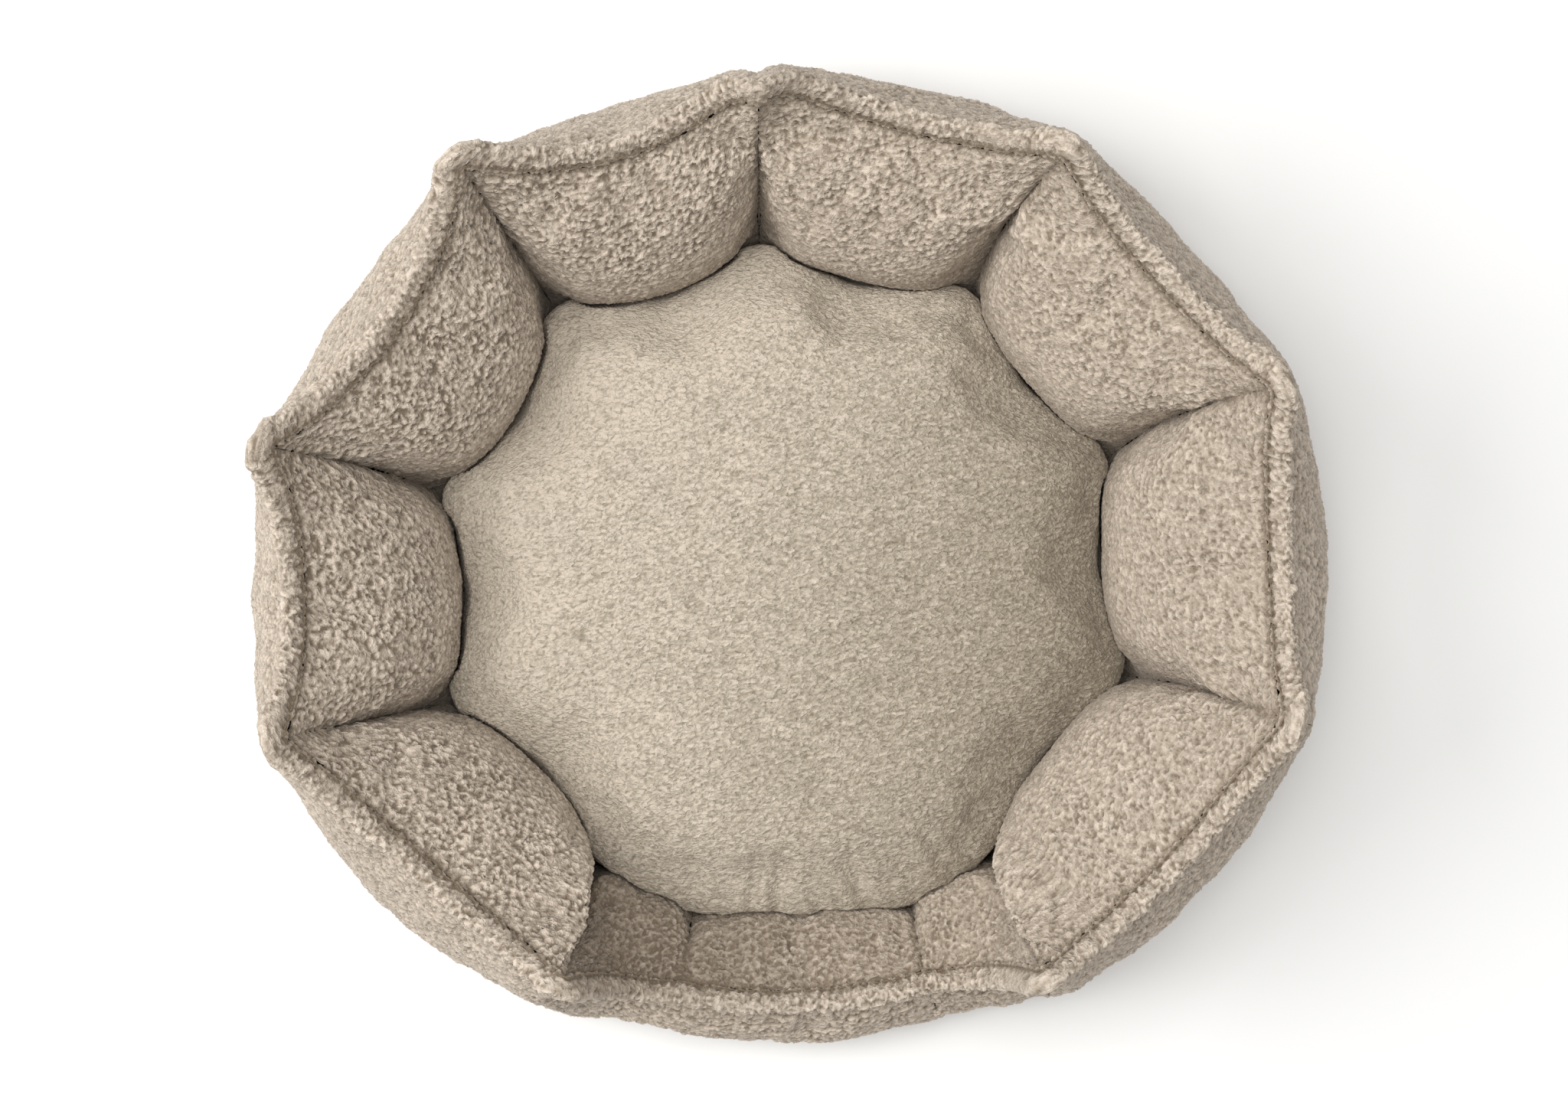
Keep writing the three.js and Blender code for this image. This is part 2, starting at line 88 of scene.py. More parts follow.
# Each pocket: the distance of the rim's middle from the nest's middle, and how full it is.
POCKETS = {
    "back_right": (245, 1.0),
    "right_rear": (252, 1.0),
    "right": (257, 1.04),
    "right_front": (250, 1.08),
    "entry_right": (238, 0.5),
    "entry": (229, 0.36),
    "entry_left": (236, 0.5),
    "left_front": (240, 1.08),
    "left": (255, 1.0),
    "left_rear": (244, 1.02),
    "back_left": (238, 0.98),
}
GATES = {"gate_right", "gate_left"}  # the seams where the high wall falls to the entrance
LOW = {"entry_right", "entry", "entry_left"}  # the pockets of the entrance

# How far the outer wall swells, in millimetres, at angles from the bed's right, anticlockwise.
OUTER_ANGLES = (0, 36, 54, 72, 90, 108, 126, 144, 162, 180, 200, 219, 240, 270, 300, 321, 342)
OUTER_SWELLS = (21, 11, 14, 13, 11, 11, 14, 11, 10, 15, 20, 25, 20, 18, 20, 24, 22)
DIVIDERS = [f"divider_{name}" for name in SEAMS]

FLARE = 2.5 * MM  # how far the rim stands out at its corners, within FLARE_WIDTH or so of them
FLARE_WIDTH = 17 * MM
BLUNT = 9 * MM  # and on both sides of the back corner, which is folded flat
BLUNT_WIDTH = 20 * MM
SWELL_IN = 32 * MM  # how far a full pocket swells inwards
OVERHANG = 5 * MM  # how far the pockets beside the entrance bulge over it
OVERHANG_CELLS = 8  # and how many columns of cells from the seam that reaches

BAND = 13.6 * MM  # the rim's band, from the stitching to its edge
BAND_HALF = 3.4 * MM  # half the band's thickness
BAND_LEAN = math.radians(46)  # how far it leans up from level
STITCH = 6.2 * MM  # from one stitch to the next

CUSHION_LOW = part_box("cushion_underside_front")[0].z
CUSHION_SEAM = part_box("cushion_top_cover")[0].z
CUSHION_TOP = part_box("cushion_top_cover")[1].z
ROUND_WAVES = 14  # how many waves round the nest the cushion's outline can follow
BULGE = 6 * MM  # how far the cushion would stand past the wall, if the wall didn't hold it in
WADDING_INSET = 9 * MM  # the filling's distance inside the cushion's cover

GRID = 5 * MM  # spacing of the simulated cloth
ROWS = 40  # cells up a panel
FRAMES = 20  # of each simulation
VOXEL = 4.6 * MM  # the cushion's mesh before its simulation
MOST_MOVED = 5 * MM  # by the wall in its simulation
TEDDY_PITCH = 2.5 * MM  # of the wall's curls
TEDDY_DEPTH = 2.5 * MM
BINDING_DEPTH = 2.6 * MM
DOT = 1.0 * MM  # how far the grip dots stand out below the sheet
DOT_PITCH = 13 * MM
RNG = np.random.default_rng(20)


# ---------------------------------------------------------------- small helpers


def smooth(x):
    x = np.clip(x, 0, 1)
    return x * x * (3 - 2 * x)


def unit(v):
    return v / np.maximum(np.linalg.norm(v, axis=-1, keepdims=True), 1e-12)


def polar(angle, distance, height=0.0):
    a = math.radians(angle)
    return NEST + np.array([math.cos(a) * distance, math.sin(a) * distance, height])


GRADIENTS = unit(RNG.normal(size=(256, 3)))
SHUFFLE = RNG.permutation(256)


def noise(points):
    """Smooth gradient noise, about -1 to 1, one bump a unit."""
    cell = np.floor(points).astype(np.int64)
    part = points - cell
    fade = part**3 * (part * (part * 6 - 15) + 10)
    total = np.zeros(len(points))
    for corner in range(8):
        step = np.array([corner & 1, corner >> 1 & 1, corner >> 2 & 1])
        at = cell + step
        key = SHUFFLE[(SHUFFLE[(SHUFFLE[at[:, 0] & 255] + at[:, 1]) & 255] + at[:, 2]) & 255]
        weight = np.prod(np.where(step == 1, fade, 1 - fade), axis=1)
        total += weight * np.einsum("ij,ij->i", GRADIENTS[key], part - step)
    return total * 1.6


def mesh_object(name, points, faces, smooth_faces=True):
    mesh = bpy.data.meshes.new(name)
    mesh.from_pydata(np.asarray(points).tolist(), [], [list(face) for face in faces])
    mesh.update()
    if smooth_faces:
        mesh.shade_smooth()
    obj = bpy.data.objects.new(name, mesh)
    bpy.context.scene.collection.objects.link(obj)
    return obj


def points_of(mesh):
    flat = np.empty(len(mesh.vertices) * 3, np.float32)
    mesh.vertices.foreach_get("co", flat)
    return flat.reshape(-1, 3).astype(float)


def normals_of(mesh):
    flat = np.empty(len(mesh.vertices) * 3, np.float32)
    mesh.vertex_normals.foreach_get("vector", flat)
    return flat.reshape(-1, 3).astype(float)


def set_points(mesh, points):
    mesh.vertices.foreach_set("co", np.asarray(points, np.float32).ravel())
    mesh.update()


def grid_faces(rows, columns, closed=False):
    """Quads of a grid whose point (i, j) is number i * columns + j."""
    across = columns if closed else columns - 1
    i, j = np.meshgrid(np.arange(rows - 1), np.arange(across), indexing="ij")
    k = (j + 1) % columns
    quads = [i * columns + j, i * columns + k, (i + 1) * columns + k, (i + 1) * columns + j]
    return np.stack(quads, -1).reshape(-1, 4)


def stacked_rings(name, rings, first, last):
    """A closed piece through rings of points, from the middle point first to the point last."""
    count = len(rings[0])
    points = np.concatenate([[first], *rings, [last]])
    base, end = 1 + (len(rings) - 1) * count, len(points) - 1
    faces = (grid_faces(len(rings), count, closed=True) + 1).tolist()
    faces += [[0, 1 + (j + 1) % count, 1 + j] for j in range(count)]
    faces += [[end, base + j, base + (j + 1) % count] for j in range(count)]
    return mesh_object(name, points, faces)


def kept(mesh, **layers):
    """Keeps a number for each point, which subdivision then spreads."""
    for name, values in layers.items():
        layer = mesh.attributes.new(name, "FLOAT", "POINT")
        layer.data.foreach_set("value", np.asarray(values, np.float32).ravel())


def taken(mesh, *names):
    """The kept numbers, which are then dropped from the mesh."""
    found = []
    for name in names:
        values = np.empty(len(mesh.vertices), np.float32)
        mesh.attributes[name].data.foreach_get("value", values)
        mesh.attributes.remove(mesh.attributes[name])
        found.append(values.astype(float))
    return found


def baked(obj):
    """obj's mesh becomes what its modifiers make of it."""
    graph = bpy.context.evaluated_depsgraph_get()
    made = bpy.data.meshes.new_from_object(obj.evaluated_get(graph))
    old = obj.data
    obj.modifiers.clear()
    obj.data = made
    made.name = obj.name
    bpy.data.meshes.remove(old)
    return obj


def subdivided(obj, levels):
    modifier = obj.modifiers.new("round", "SUBSURF")
    modifier.levels = modifier.render_levels = levels
    modifier.boundary_smooth = "PRESERVE_CORNERS"
    return baked(obj)


# ---------------------------------------------------------------- the ring of pockets


class Seam:
    """The line where two pockets are sewn together, from its foot to its top at the rim."""

    def __init__(self, name):
        self.name = name
        foot_angle, foot_reach, rim_angle, rim_reach, self.bow = SEAMS[name]
        high = name not in ("entry_right", "entry_left")
        self.foot = polar(foot_angle, foot_reach * MM, NEST_FLOOR)
        self.rim = polar(rim_angle, rim_reach * MM, CREST if high else SILL)
        self.angle = rim_angle
        self.flare = FLARE if high and name not in GATES | {"back"} else 0.0
        self.blunt = BLUNT if name == "back" else 0.0

    def clockwise(self):
        """The level direction square to the seam, clockwise round the nest."""
        x, y, _ = unit((self.rim - self.foot) * [1, 1, 0])
        return np.array([y, -x, 0])


class Pocket:
    """One pocket of the wall. s runs from 0 at its start seam to 1 at its end seam, and t from 0
    at its foot to 1 at the rim."""

    def __init__(self, name, start, end):
        self.name, self.start, self.end = name, Seam(start), Seam(end)
        reach, self.fullness = POCKETS[name]
        turn = 360 if self.end.angle > self.start.angle else 0
        self.angles = self.start.angle, self.end.angle - turn
        middle = polar(sum(self.angles) / 2, reach * MM)
        self.pull = middle - (self.start.rim + self.end.rim) / 2
        self.width = np.linalg.norm(self.start.rim - self.end.rim)
        self.cells = max(10, int(round(self.width / GRID)))

    def lerp(self, a, b, s):
        return a + (b - a) * s[:, None]

    def rim(self, s):
        """The line of the stitching along the top."""
        plan = self.lerp(self.start.rim, self.end.rim, s) + (4 * s * (1 - s))[:, None] * self.pull
        for seam, away in ((self.start, s * self.width), (self.end, (1 - s) * self.width)):
            flared = seam.flare * np.exp(-((away / FLARE_WIDTH) ** 2))
            folded = seam.blunt * (away / BLUNT_WIDTH) * np.exp(1 - away / BLUNT_WIDTH)
            plan += unit(seam.rim - NEST - [0, 0, seam.rim[2]]) * (flared + folded)[:, None]
        if self.name == "entry":
            plan[:, 2] = SILL - 3 * MM * 4 * s * (1 - s)
        elif self.name in LOW:
            away = s if self.name == "entry_right" else 1 - s
            plan[:, 2] = SILL + (CREST - SILL) * (1 - away) ** 3.8
        else:
            plan[:, 2] = CREST - SWAG * (1 - np.abs(2 * s - 1) ** 2.2)
        return plan

    def foot(self, s):
        base = self.lerp(self.start.foot, self.end.foot, s)
        inwards = unit((NEST - base) * [1, 1, 0])
        return base + inwards * (1.5 * MM * 4 * s * (1 - s))[:, None]

    def outer_foot(self, s):
        """Where the ray from the nest's middle meets the ellipse of the wall's foot."""
        angle = np.radians(self.angles[0] + (self.angles[1] - self.angles[0]) * s)
        d = np.stack([np.cos(angle), np.sin(angle)], 1)
        half = np.array(OUTER_FOOT)
        a = np.sum((d / half) ** 2, 1)
        b = 2 * d[:, 1] * NEST[1] / half[1] ** 2
        c = (NEST[1] / half[1]) ** 2 - 1
        reach = (-b + np.sqrt(b * b - 4 * a * c)) / (2 * a)
        plan = np.zeros((len(s), 3))
        plan[:, :2] = NEST[:2] + d * reach[:, None]
        plan[:, 2] = GROUND
        return plan

    def outwards(self, s):
        return unit((self.outer_foot(s) - self.foot(s)) * [1, 1, 0])

    def plump(self, s, power):
        """The share of the swell from seam to seam: a low pocket stays full up to its seams."""
        round_ends = np.sqrt(np.clip(1 - np.abs(2 * s - 1) ** power, 0, 1))
        return 0.45 + 0.55 * round_ends if self.name in LOW else round_ends

    def inner(self, s, t, share=1.0):
        """The inner face at rest: s across, t up, share of its full swell."""
        foot, out = self.foot(s), self.outwards(s)
        top = self.rim(s) - out * 1.0 * MM - np.array([0, 0, 1.5 * MM])
        chord = top - foot
        flat = np.sum(chord * out, 1)
        normal = unit(np.stack([-out[:, 0] * chord[:, 2], -out[:, 1] * chord[:, 2], flat], 1))
        belly = np.sin(np.pi * np.clip(t, 0, 1)) ** 0.92
        swell = SWELL_IN * self.fullness * share * self.plump(s, 2.6) * belly
        return foot + chord * t[:, None] + normal * swell[:, None]

    def outer(self, s, t, share=1.0):
        """The outer face at rest, in the same terms."""
        foot, out = self.outer_foot(s), self.outwards(s)
        top = self.rim(s) + out * 3.5 * MM - np.array([0, 0, 1.5 * MM])
        chord = top - foot
        flat = -np.sum(chord * out, 1)
        normal = unit(np.stack([out[:, 0] * chord[:, 2], out[:, 1] * chord[:, 2], flat], 1))
        belly = np.sin(np.pi * t**0.75) ** 0.8
        angle = self.angles[0] + (self.angles[1] - self.angles[0]) * s
        most = np.interp(angle, OUTER_ANGLES, OUTER_SWELLS, period=360) * MM
        swell = most * share * (0.8 + 0.2 * self.plump(s, 2.2)) * belly
        return foot + chord * t[:, None] + normal * swell[:, None]


SEAM_NAMES = list(SEAMS)
POCKET_LIST = [Pocket(name, SEAM_NAMES[i], SEAM_NAMES[(i + 1) % len(SEAM_NAMES)])
               for i, name in enumerate(POCKETS)]


def ring_grid(side, share):
    """Points of the whole ring in rows from the foot up, the last column next to the first, and
    the pocket number and place in the pocket of each column."""
    columns, owners = [], []
    t = np.linspace(0, 1, ROWS + 1)
    for number, pocket in enumerate(POCKET_LIST):
        for c in range(pocket.cells):
            s = np.full(ROWS + 1, c / pocket.cells)
            columns.append(getattr(pocket, side)(s, t, share))
            owners.append((number, c))
    return np.stack(columns, 1), owners


# ---------------------------------------------------------------- cloth


def inflated(name, points, faces, pinned, pressure, grow, cap, collides=False, stiffness=8.0):
    """The points of a cloth blown up with its pinned points held, each moved by cap at most."""
    obj = mesh_object(name, points, faces)
    pin = obj.vertex_groups.new(name="pin")
    for weight in sorted(set(np.round(pinned[pinned > 0], 3))):
        pin.add(np.flatnonzero(np.round(pinned, 3) == weight).tolist(), float(weight), "REPLACE")
    cloth = obj.modifiers.new("cloth", "CLOTH")
    settings = cloth.settings
    settings.quality = 6
    settings.mass = 0.15
    settings.tension_stiffness = settings.compression_stiffness = stiffness
    settings.shear_stiffness = stiffness / 2
    settings.bending_stiffness = 0.4
    settings.air_damping = 2.0
    settings.use_pressure = True
    settings.uniform_pressure_force = pressure
    settings.shrink_min = -grow
    settings.vertex_group_mass = "pin"
    settings.effector_weights.gravity = 0
    cloth.collision_settings.use_collision = collides
    cloth.collision_settings.distance_min = 1.5 * MM
    cloth.collision_settings.use_self_collision = False
    cloth.point_cache.frame_start, cloth.point_cache.frame_end = 1, FRAMES
    scene = bpy.context.scene
    for number in range(1, FRAMES + 1):
        scene.frame_set(number)
    graph = bpy.context.evaluated_depsgraph_get()
    moved = points_of(obj.evaluated_get(graph).data)
    scene.frame_set(1)
    bpy.data.objects.remove(obj)
    step = moved - points
    length = np.linalg.norm(step, axis=1)
    return points + step * np.minimum(1, cap / np.maximum(length, 1e-9))[:, None]


def settled_ring(side, share, pressure, grow, low, high):
    """The inner or outer wall, blown up between its pinned foot, rim and seams.

    A row may move by MOST_MOVED in the middle of the wall, and less within low of its foot or
    high of its rim, both as shares of the height."""
    t = np.linspace(0, 1, ROWS + 1)
    caps = 0.3 * MM + MOST_MOVED * smooth(t / low) * smooth((1 - t) / high)
    grid, owners = ring_grid(side, share)
    shape = grid.shape
    faces = grid_faces(shape[0], shape[1], closed=True)
    if side == "outer":
        faces = faces[:, ::-1]
    pinned = np.zeros(shape[:2])
    pinned[0] = pinned[-1] = 1
    for column, (_, c) in enumerate(owners):
        if c == 0:
            pinned[:, column] = 1 if side == "inner" else 0.12  # the outer seams give a little
    moved = inflated(side, grid.reshape(-1, 3), faces, pinned.ravel(), pressure, grow,
                     np.repeat(caps, shape[1]))
    return moved.reshape(shape), owners


def held_apart(grid, owners):
    """Keeps each inner pocket on its own side of its seams, and bows the creases."""
    out = grid.copy()
    arch = np.sin(np.pi * np.linspace(0, 1, ROWS + 1))
    for column, (number, c) in enumerate(owners):
        pocket = POCKET_LIST[number]
        for seam, side, away in ((pocket.start, 1, c), (pocket.end, -1, pocket.cells - c)):
            sideways = seam.clockwise() * side
            depth = (grid[:, column] - seam.foot) @ sideways
            least = 0.7 * MM if away else 0.0
            if seam.name not in GATES or pocket.name in LOW:
                out[:, column] += np.maximum(0, least - depth)[:, None] * sideways
            share = smooth(1 - 2 * away / pocket.cells)
            out[:, column] += (seam.bow * MM * share * arch)[:, None] * seam.clockwise()
    return out


def flopped(grid, owners):
    """Lets the two pockets beside the entrance bulge over its seams like pillow ends."""
    out = grid.copy()
    t = np.linspace(0, 1, ROWS + 1)
    arch = smooth((t - 0.25) / 0.4) * smooth((1 - t) / 0.12)
    for column, (number, c) in enumerate(owners):
        pocket = POCKET_LIST[number]
        if pocket.name == "right_front":
            seam, side, away = pocket.end, -1, pocket.cells - c
        elif pocket.name == "left_front":
            seam, side, away = pocket.start, 1, c
        else:
            continue
        if 0 < away < OVERHANG_CELLS:
            sideways = seam.clockwise() * side
            depth = (out[:, column] - seam.foot) @ sideways
            pull = math.sin(math.pi * away / OVERHANG_CELLS) * arch
            out[:, column] -= ((depth + OVERHANG) * pull)[:, None] * sideways
    return out


# ---------------------------------------------------------------- pile


def curls(points, pitch, seed=0.0):
    """Height of a curly pile, 0 in the gaps to 1 on the curls."""
    q = points / pitch + seed
    drift = np.stack([noise(q * 0.6 + k) for k in (7.3, 31.7, 58.1)], 1)
    bent = q + 0.4 * drift
    lumps = 0.62 * noise(bent) + 0.34 * noise(bent * 1.9 + 11.0)
    patch = 1.05 + 0.5 * noise(points / (17 * MM) + seed)
    return np.clip(0.52 + lumps * patch, 0, 1)


def brushed(points, length, width):
    """Height of a short pile brushed along X."""
    q = points / np.array([length, width, width])
    drift = np.stack([noise(points / (9 * MM) + k) for k in (3.1, 17.9, 44.4)], 1)
    bent = q + 0.9 * drift
    big = np.abs(noise(bent)) ** 0.7
    small = noise(bent * 2.3 + 5.0) * 0.5 + 0.5
    return np.clip(0.1 + 0.75 * big + 0.35 * small, 0, 1.2)


def raise_pile(obj, height, depth, shade=1.0, lift=0.0):
    """Moves the surface out by the pile's height, plus lift, and keeps it as an attribute.

    shade is painted shade and light kept in the pile: below 1 it darkens the pile, as in the
    stitched grooves, and above 1 it lightens it."""
    mesh = obj.data
    points, normals = points_of(mesh), normals_of(mesh)
    move = depth * (height - 0.45) + lift
    set_points(mesh, points + normals * move[:, None])
    kept(mesh, pile=height * shade)
    mesh.shade_smooth()


# ---------------------------------------------------------------- materials


def noise_node(tree, vector, scale, detail, distortion=0.0):
    node = tree.nodes.new("ShaderNodeTexNoise")
    node.inputs["Scale"].default_value = scale
    node.inputs["Detail"].default_value = detail
    node.inputs["Distortion"].default_value = distortion
    tree.links.new(vector, node.inputs["Vector"])
    return node.outputs["Fac"]


def ranged(tree, value, low, high, source=(0.0, 1.0)):
    """value, mapped from the source range to low..high."""
    node = tree.nodes.new("ShaderNodeMapRange")
    node.inputs["From Min"].default_value, node.inputs["From Max"].default_value = source
    node.inputs["To Min"].default_value, node.inputs["To Max"].default_value = low, high
    tree.links.new(value, node.inputs["Value"])
    return node.outputs["Result"]


def material(name, tip, gap, roughness=0.9, sheen=0.25, fuzz=900.0, tint=0.05, curl=380.0,
             curl_share=0.4, stretch=1.0):
    """A plush whose colour follows its pile: gap between the curls, tip on them.

    curl and fuzz are how many curls and fibres a metre has, curl_share is how much of the
    colour the small curls make, tint is how cloudy it is, and stretch makes the curls longer
    along X."""
    made = bpy.data.materials.new(name)
    made.use_nodes = True
    tree = made.node_tree
    nodes, links = tree.nodes, tree.links
    shader = nodes["Principled BSDF"]
    shader.inputs["Specular IOR Level"].default_value = 0.15
    shader.inputs["Sheen Weight"].default_value = sheen
    shader.inputs["Sheen Roughness"].default_value = 0.5
    shader.inputs["Sheen Tint"].default_value = (0.95, 0.88, 0.8, 1)
    place = nodes.new("ShaderNodeTexCoord").outputs["Object"]

    scaled = nodes.new("ShaderNodeMapping")
    scaled.inputs["Scale"].default_value = (1 / stretch, 1, 1)
    links.new(place, scaled.inputs["Vector"])
    fine = noise_node(tree, scaled.outputs["Vector"], curl, 2.0, distortion=0.9)
    small_curls = ranged(tree, fine, -curl_share / 2, curl_share / 2, source=(0.28, 0.72))
    # the pile attribute holds painted shade and painted light along with the pile's height
    pile = nodes.new("ShaderNodeAttribute")
    pile.attribute_name = "pile"
    both = nodes.new("ShaderNodeMath")
    links.new(pile.outputs["Fac"], both.inputs[0])
    links.new(small_curls, both.inputs[1])
    ramp = nodes.new("ShaderNodeValToRGB")
    for element, position, color in zip(ramp.color_ramp.elements, (0.1, 0.85), (gap, tip)):
        element.position, element.color = position, (*color, 1)
    links.new(both.outputs["Value"], ramp.inputs["Fac"])
    clouds = nodes.new("ShaderNodeHueSaturation")
    links.new(ranged(tree, noise_node(tree, place, 22.0, 3.0), 1 - tint, 1 + tint),
              clouds.inputs["Value"])
    links.new(ramp.outputs["Color"], clouds.inputs["Color"])
    links.new(clouds.outputs["Color"], shader.inputs["Base Color"])

    fibres = noise_node(tree, place, fuzz, 2.0)
    links.new(ranged(tree, fibres, roughness - 0.08, 1.0), shader.inputs["Roughness"])
    normal = None
    for height, strength, distance in ((fibres, 0.25, 0.0006), (small_curls, 1.0, 0.002)):
        relief = nodes.new("ShaderNodeBump")
        relief.inputs["Strength"].default_value = strength
        relief.inputs["Distance"].default_value = distance
        links.new(height, relief.inputs["Height"])
        if normal:
            links.new(normal, relief.inputs["Normal"])
        normal = relief.outputs["Normal"]
    links.new(normal, shader.inputs["Normal"])
    return made


TEDDY = material("teddy plush", (0.66, 0.565, 0.465), (0.23, 0.18, 0.13))
BINDING = material("rim plush", (0.68, 0.585, 0.485), (0.23, 0.18, 0.13))
PLUSH = material("brushed plush", (0.63, 0.55, 0.445), (0.25, 0.207, 0.15), tint=0.09,
                 curl=520.0, curl_share=0.5, stretch=1.6)
WADDING = material("fibre filling", (0.85, 0.84, 0.81), (0.7, 0.69, 0.66), fuzz=400)
LINING = material("lining cloth", (0.62, 0.56, 0.48), (0.5, 0.44, 0.37), fuzz=1500)
NON_SLIP = material("non-slip sheet", (0.16, 0.14, 0.12), (0.1, 0.09, 0.08), fuzz=1300)
THREAD = material("topstitch thread", (0.30, 0.22, 0.155), (0.2, 0.15, 0.1), fuzz=2500)
METAL = material("zip metal", (0.45, 0.43, 0.4), (0.4, 0.38, 0.36), roughness=0.35, sheen=0.0)
ZIP_TAPE = material("zip tape", (0.44, 0.37, 0.3), (0.36, 0.3, 0.235), fuzz=2200, curl=1400.0,
                    curl_share=0.3)
ZIP_COIL = material("zip coil", (0.36, 0.3, 0.24), (0.28, 0.23, 0.18), roughness=0.45, sheen=0.0,
                    curl=900.0, curl_share=0.15)


def dressed(obj, look, body, slot, *nodes):
    """Gives obj its material and body, and hides the CAD nodes that it stands for; slot is not
    used.
    """
    obj.data.materials.clear()
    obj.data.materials.append(look)
    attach(obj, body)
    if nodes:
        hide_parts(*nodes)
    return obj


# ---------------------------------------------------------------- the wall


def split_ring(grid, owners, side):
    """One object for each pocket, sharing the seam columns with its neighbours."""
    rows, columns, _ = grid.shape
    made = []
    for number, pocket in enumerate(POCKET_LIST):
        first = next(k for k, owner in enumerate(owners) if owner == (number, 0))
        picked = [(first + k) % columns for k in range(pocket.cells + 1)]
        points = grid[:, picked].reshape(-1, 3)
        faces = grid_faces(rows, len(picked))
        if side == "outer":
            faces = faces[:, ::-1]
        panel = mesh_object(f"{side}_panel_{pocket.name}_cloth", points, faces)
        up, across = np.meshgrid(np.linspace(0, 1, rows), np.linspace(0, 1, len(picked)),
                                 indexing="ij")
        kept(panel.data, up=up, across=across)
        made.append(panel)
    return made


def finish_panel(panel, pocket, side):
    """Curls all over, with painted shade along the rim's stitching. The inner face also gets a
    puckered groove there, painted shade at the seams and low down, and painted light and shade from
    side to side.
    """
    subdivided(panel, 2)
    points = points_of(panel.data)
    t, s = taken(panel.data, "up", "across")
    width = pocket.cells * GRID
    below = (1 - t) * np.linalg.norm(pocket.start.rim - pocket.start.foot)
    beside = np.minimum(s, 1 - s) * width
    pile = curls(points, TEDDY_PITCH)
    depth = TEDDY_DEPTH * (0.45 + 0.55 * smooth(t / 0.4))
    rim_groove = np.exp(-((below / (2.4 * MM)) ** 2))
    # painted shade: the pile is darkened along the rim's stitching, where shade falls in the groove
    shade = 1 - 0.75 * rim_groove
    slack = noise(points / (42 * MM) + 3.0) + 0.5 * noise(points / (19 * MM) + 8.0)
    lift = 1.3 * MM * slack * smooth(t / 0.1) * smooth((1 - t) / 0.2)
    if side == "outer":
        lift *= 2
    else:
        right = points[:, 0] / (200 * MM)
        # The pile is softer low down and crisper by the rim. Its curls get less contrast to the
        # right: painted light, as the right side faces the light and shows less relief.
        crisp_and_painted_light = (0.7 + 0.4 * smooth((t - 0.35) / 0.4)) * (1 - 0.144 * right)
        pile = 0.75 - (0.75 - pile) * crisp_and_painted_light
        # painted shade in the creases at the seams
        painted_seam_shade = np.exp(-((beside / (3.6 * MM)) ** 2))
        # painted shade low on the pockets, where they tuck in above the cushion
        painted_low_shade = 1 - smooth((t - 0.2) / 0.3)
        # painted light and shade: the entrance's pockets darkened as they lie low, most at the
        # left; the others lighter to the left, towards the light
        painted_lighting = 0.62 + 0.246 * right if pocket.name in LOW else 1 - 0.1 * right
        shade = (shade - 0.6 * painted_seam_shade) * (1 - 0.5 * painted_low_shade) * painted_lighting
        puckers = np.abs(np.sin(np.pi * s * round(width / (8 * MM))))
        near_rim = np.exp(-((below / (9 * MM)) ** 2))
        lift += 1.3 * MM * (puckers * near_rim - 0.4 * rim_groove)
    raise_pile(panel, pile, depth, shade, lift)
    dressed(panel, TEDDY, "bed", "teddy", f"{side}_panel_{pocket.name}")


inner_grid, owners = settled_ring("inner", share=0.95, pressure=6.0, grow=0.05, low=0.4, high=0.22)
inner_grid = flopped(held_apart(inner_grid, owners), owners)
outer_grid, _ = settled_ring("outer", share=0.85, pressure=5.0, grow=0.03, low=0.25, high=0.3)

for side, grid in (("inner", inner_grid), ("outer", outer_grid)):
    for panel, pocket in zip(split_ring(grid, owners, side), POCKET_LIST):
        finish_panel(panel, pocket, side)


# ---------------------------------------------------------------- what is inside the wall


def closed_loft(name, loops):
    """A solid through loops of points, with a point in the middle of each end."""
    rings, count, _ = loops.shape
    points = np.concatenate([loops.reshape(-1, 3), loops[:1].mean(1), loops[-1:].mean(1)])
    faces = grid_faces(rings, count, closed=True).tolist()
    first, last, base = rings * count, rings * count + 1, (rings - 1) * count
    faces += [[first, (j + 1) % count, j] for j in range(count)]
    faces += [[last, base + j, base + (j + 1) % count] for j in range(count)]
    return mesh_object(name, points, faces)


def pocket_loops(pocket, steps, share, inset, top):
    """Outlines inside a pocket: up its inner face and down its outer one."""
    loops = []
    t = np.linspace(0.0, top, 9)
    for s in steps:
        at = np.full(len(t), s)
        out = pocket.outwards(at)
        inside = pocket.inner(at, t, share) + out * inset
        outside = pocket.outer(at, t, share) - out * inset
        loop = np.concatenate([inside, outside[::-1]])
        loop[:, 2] = np.maximum(loop[:, 2], GROUND + 1 * MM)
        loops.append(loop)
    return np.stack(loops)


for number, pocket in enumerate(POCKET_LIST):
    inset, top = (10 * MM, 0.7) if pocket.name in LOW else (7 * MM, 0.85)
    loops = pocket_loops(pocket, np.linspace(0.06, 0.94, 12), 0.35, inset, top)
    fill = subdivided(closed_loft(f"filling_{pocket.name}", loops), 1)
    dressed(fill, WADDING, "bed", "wadding", f"wall_fill_{pocket.name}")
    edge = pocket_loops(pocket, [0.0], 0.0, 4 * MM, 0.9)[0]
    half = unit(pocket.end.foot - pocket.start.foot) * 0.6 * MM  # of its thickness
    sheet = closed_loft(f"divider_{number}_cloth", np.stack([edge - half, edge + half]))
    dressed(sheet, LINING, "bed", "lining", DIVIDERS[number])


# ---------------------------------------------------------------- the rim


